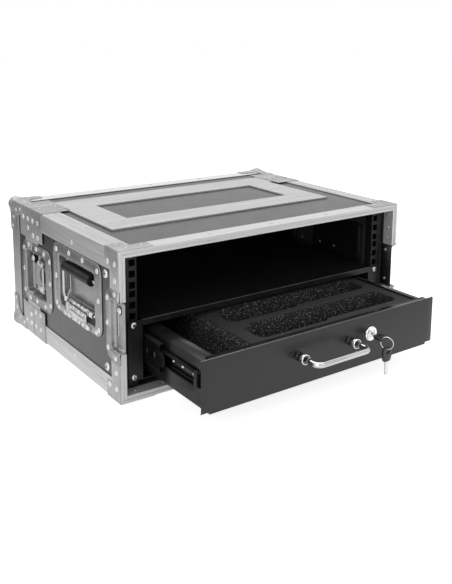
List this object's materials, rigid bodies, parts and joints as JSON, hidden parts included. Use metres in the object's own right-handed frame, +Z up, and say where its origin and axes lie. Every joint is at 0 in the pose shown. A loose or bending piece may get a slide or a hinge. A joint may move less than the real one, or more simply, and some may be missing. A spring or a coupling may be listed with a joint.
{
  "type": "rack flight case with drawer",
  "caption": "Flight case with rack strips, a lockable foam-lined drawer pulled out of its housing, recessed side handles and latches, and a lift-off rear lid.",
  "frame": {"origin": "middle of the bounding box on the floor under the feet, with the drawer pulled out as at rest", "axes": "+Z up, +Y from the drawer and open front towards the rear lid, +X to the right seen from the front"},
  "size_m": [0.539, 0.5674, 0.2307],
  "materials": {
    "laminate": "satin",
    "aluminium": "satin",
    "zinc_steel": "satin",
    "chrome": "polished",
    "black_steel": "satin",
    "grey_paint": "satin",
    "rubber": "matte",
    "foam": "matte",
    "black_plastic": "satin"
  },
  "bodies": {
    "case": {"bottom_panel": "laminate", "top_panel": "laminate", "side_panel_left": "laminate", "side_panel_right": "laminate", "front_frame_upper": "aluminium", "front_frame_lower": "aluminium", "rear_frame_upper": "aluminium", "rear_frame_lower": "aluminium", "top_edge_left": "aluminium", "top_edge_right": "aluminium", "bottom_edge_left": "aluminium", "bottom_edge_right": "aluminium", "top_strip_frame": "aluminium", "foot_front_left": "rubber", "foot_front_right": "rubber", "foot_rear_left": "rubber", "foot_rear_right": "rubber", "latch_dish_left": "zinc_steel", "latch_dish_right": "zinc_steel", "front_strike_left": "zinc_steel", "front_strike_right": "zinc_steel", "handle_dish_left": "zinc_steel", "handle_dish_right": "zinc_steel", "rack_strip_left": "black_steel", "rack_strip_right": "black_steel", "drawer_housing": "black_steel"},
    "lid": {"lid_shell": "laminate", "lid_frame_upper": "aluminium", "lid_frame_lower": "aluminium", "lid_edge_trim": "aluminium", "ball_corner_top_left": "zinc_steel", "ball_corner_top_right": "zinc_steel", "ball_corner_bottom_left": "zinc_steel", "ball_corner_bottom_right": "zinc_steel", "lid_strike_left": "zinc_steel", "lid_strike_right": "zinc_steel"},
    "drawer": {"drawer_tray": "black_steel", "drawer_front": "grey_paint", "foam_insert": "foam", "pull_handle": "chrome", "lock_barrel": "chrome", "slide_inner_left": "zinc_steel", "slide_inner_right": "zinc_steel"},
    "lock_plug_body": {"lock_plug": "chrome", "lock_cam": "zinc_steel"},
    "key_body": {"lock_key": "black_plastic"},
    "ring_body": {"key_ring": "chrome"},
    "spare_key_body": {"spare_key": "black_plastic"},
    "middle_slide_left": {"slide_middle_left": "zinc_steel"},
    "handle_left": {"handle_bail_left": "chrome", "handle_grip_left": "rubber"},
    "latch_turn_left": {"latch_rotor_left": "zinc_steel"},
    "wing_left": {"latch_wing_left": "chrome"},
    "hook_left": {"latch_hook_left": "zinc_steel"},
    "middle_slide_right": {"slide_middle_right": "zinc_steel"},
    "handle_right": {"handle_bail_right": "chrome", "handle_grip_right": "rubber"},
    "latch_turn_right": {"latch_rotor_right": "zinc_steel"},
    "wing_right": {"latch_wing_right": "chrome"},
    "hook_right": {"latch_hook_right": "zinc_steel"}
  },
  "joints": [
    {"name": "drawer_slide", "type": "slide", "parent": "case", "child": "drawer", "axis": [0, -1, 0], "range_m": [-0.1434, 0.1066]},
    {"name": "lid_lift_off", "type": "slide", "parent": "case", "child": "lid", "axis": [0, 1, 0], "range_m": [0, 0.12]},
    {"name": "lock_turn", "type": "hinge", "parent": "drawer", "child": "lock_plug_body", "pos_m": [0.081, -0.2397, 0.076], "axis": [0, -1, 0], "range_deg": [0, 90]},
    {"name": "key_pull_out", "type": "slide", "parent": "lock_plug_body", "child": "key_body", "axis": [0, -1, 0], "range_m": [0, 0.03]},
    {"name": "ring_swing", "type": "hinge", "parent": "key_body", "child": "ring_body", "pos_m": [0.08375, -0.27016, 0.076], "axis": [-0.866, -0.5, 0], "range_deg": [0, 25]},
    {"name": "spare_key_swing", "type": "hinge", "parent": "ring_body", "child": "spare_key_body", "pos_m": [0.08375, -0.27016, 0.0608], "axis": [0.5, -0.866, 0], "range_deg": [-30, 30]},
    {"name": "middle_slide_left", "type": "slide", "parent": "case", "child": "middle_slide_left", "axis": [0, -1, 0], "range_m": [-0.0717, 0.0533]},
    {"name": "handle_lift_left", "type": "hinge", "parent": "case", "child": "handle_left", "pos_m": [-0.2578, 0.0207, 0.108], "axis": [0, -1, 0], "range_deg": [0, 90], "stiffness_Nm_per_rad": 0.2, "springref_deg": -45.84},
    {"name": "latch_turn_left", "type": "hinge", "parent": "case", "child": "latch_turn_left", "pos_m": [-0.2576, 0.1623, 0.1171], "axis": [-1, 0, 0], "range_deg": [0, 180]},
    {"name": "wing_fold_left", "type": "hinge", "parent": "latch_turn_left", "child": "wing_left", "pos_m": [-0.2595, 0.1543, 0.1171], "axis": [0, 0, 1], "range_deg": [0, 90]},
    {"name": "hook_travel_left", "type": "slide", "parent": "case", "child": "hook_left", "axis": [-0.3162, 0.9487, 0], "range_m": [0, 0.00632]},
    {"name": "middle_slide_right", "type": "slide", "parent": "case", "child": "middle_slide_right", "axis": [0, -1, 0], "range_m": [-0.0717, 0.0533]},
    {"name": "handle_lift_right", "type": "hinge", "parent": "case", "child": "handle_right", "pos_m": [0.2578, 0.0207, 0.108], "axis": [0, 1, 0], "range_deg": [0, 90], "stiffness_Nm_per_rad": 0.2, "springref_deg": -45.84},
    {"name": "latch_turn_right", "type": "hinge", "parent": "case", "child": "latch_turn_right", "pos_m": [0.2576, 0.1623, 0.1171], "axis": [1, 0, 0], "range_deg": [0, 180]},
    {"name": "wing_fold_right", "type": "hinge", "parent": "latch_turn_right", "child": "wing_right", "pos_m": [0.2595, 0.1543, 0.1171], "axis": [0, 0, -1], "range_deg": [0, 90]},
    {"name": "hook_travel_right", "type": "slide", "parent": "case", "child": "hook_right", "axis": [0.3162, 0.9487, 0], "range_m": [0, 0.00632]}
  ],
  "couplings": [
    {"joint": "middle_slide_left", "follows": "drawer_slide", "ratio": 0.5},
    {"joint": "hook_travel_left", "follows": "latch_turn_left", "m_per_rad": 0.0020132},
    {"joint": "middle_slide_right", "follows": "drawer_slide", "ratio": 0.5},
    {"joint": "hook_travel_right", "follows": "latch_turn_right", "m_per_rad": 0.0020132}
  ]
}
